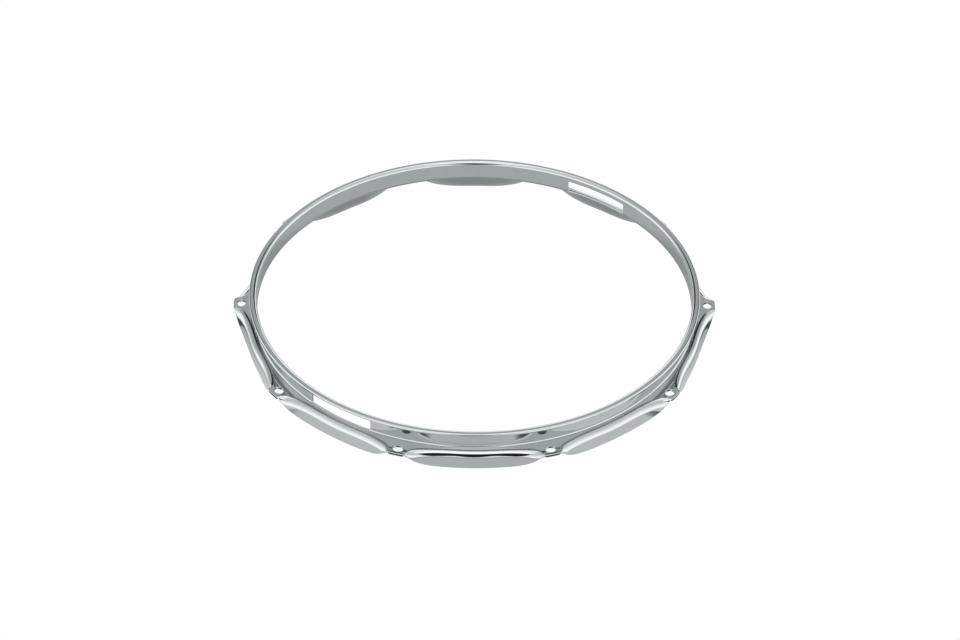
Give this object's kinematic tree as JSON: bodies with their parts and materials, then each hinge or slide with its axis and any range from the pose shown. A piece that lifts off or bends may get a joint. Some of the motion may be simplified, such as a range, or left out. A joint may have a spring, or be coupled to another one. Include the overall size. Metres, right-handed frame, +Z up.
{
  "type": "drum hoop",
  "caption": "Pressed steel hoop for the snare side of a drum: outward rim, upright wall with opposite snare gates, ears with oval tension-rod holes, and skirts folded down between them.",
  "frame": {"origin": "centre of the plane that the skirts' lower edges lie in, on the hoop's axis", "axes": "+Z up the hoop's axis from the skirts to the rim; +X through an ear; the snare gates face +Y and -Y"},
  "size_m": [0.3946, 0.379, 0.0305],
  "materials": {
    "chrome_sheet": "bright polished chrome plate on pressed steel",
    "chrome_weld": "bright chrome plate on a weld ground flush"
  },
  "bodies": {
    "root": {"pressed_hoop": "chrome_sheet", "butt_weld": "chrome_weld"}
  },
  "joints": []
}
